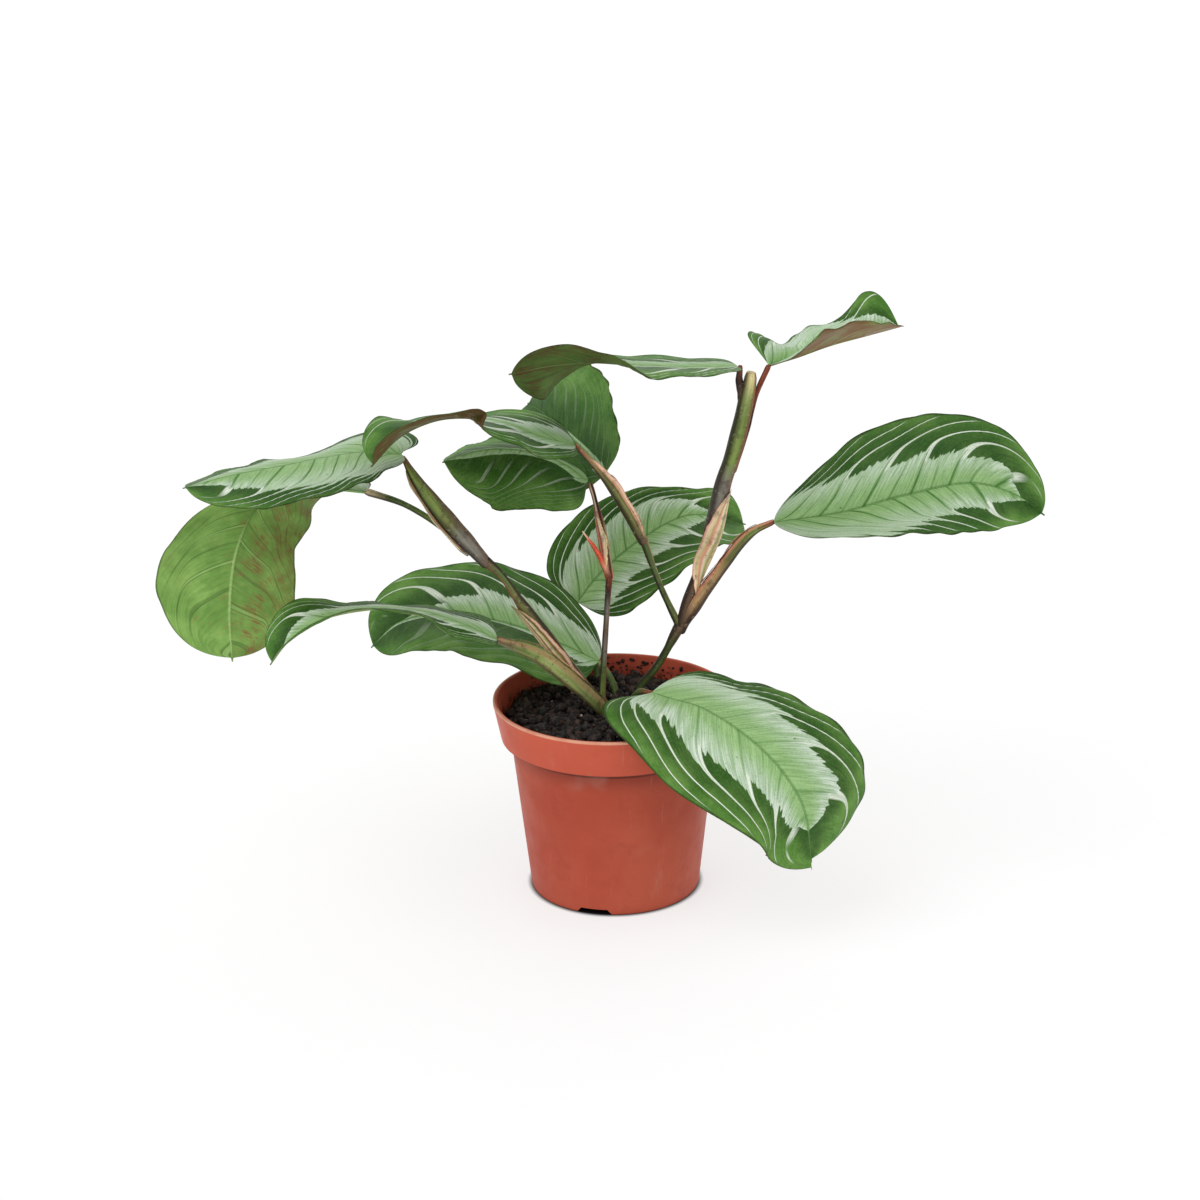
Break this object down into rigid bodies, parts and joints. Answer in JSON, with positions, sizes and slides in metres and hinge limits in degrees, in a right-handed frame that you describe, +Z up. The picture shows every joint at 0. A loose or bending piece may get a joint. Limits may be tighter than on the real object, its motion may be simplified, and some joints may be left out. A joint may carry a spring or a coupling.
{
  "type": "potted prayer plant",
  "caption": "Prayer plant in a tapered clay-coloured nursery pot: soil, jointed stems and broad oval leaves with a pale feathered centre band.",
  "frame": {"origin": "centre of the pot's foot, on the ground", "axes": "+Z up along the pot's axis; +X to the right of the side that is usually seen; -Y towards that viewer"},
  "size_m": [0.4378, 0.216, 0.2859],
  "materials": {
    "pot": "satin moulded plastic, clay red, faintly scuffed",
    "soil": "matt, crumbly",
    "stem": "satin, grey green with brown joints and papery pink sheath edges",
    "stalk": "satin, light green",
    "leaf": "satin leaf, dark green with a pale centre band and white side veins"
  },
  "bodies": {
    "root": {"pot": "pot", "soil": "soil", "stem_right": "stem", "stem_middle": "stem", "stem_left": "stem", "stalk_low": "stalk", "stalk_front": "stalk", "stalk_rear_low": "stalk", "stalk_rear_high": "stalk", "leaf_01": "leaf", "leaf_02": "leaf", "leaf_03": "leaf", "leaf_04": "leaf", "leaf_05": "leaf", "leaf_06": "leaf", "leaf_07": "leaf", "leaf_08": "leaf", "leaf_09": "leaf", "leaf_10": "leaf", "leaf_11": "leaf", "leaf_12": "leaf"}
  },
  "joints": []
}
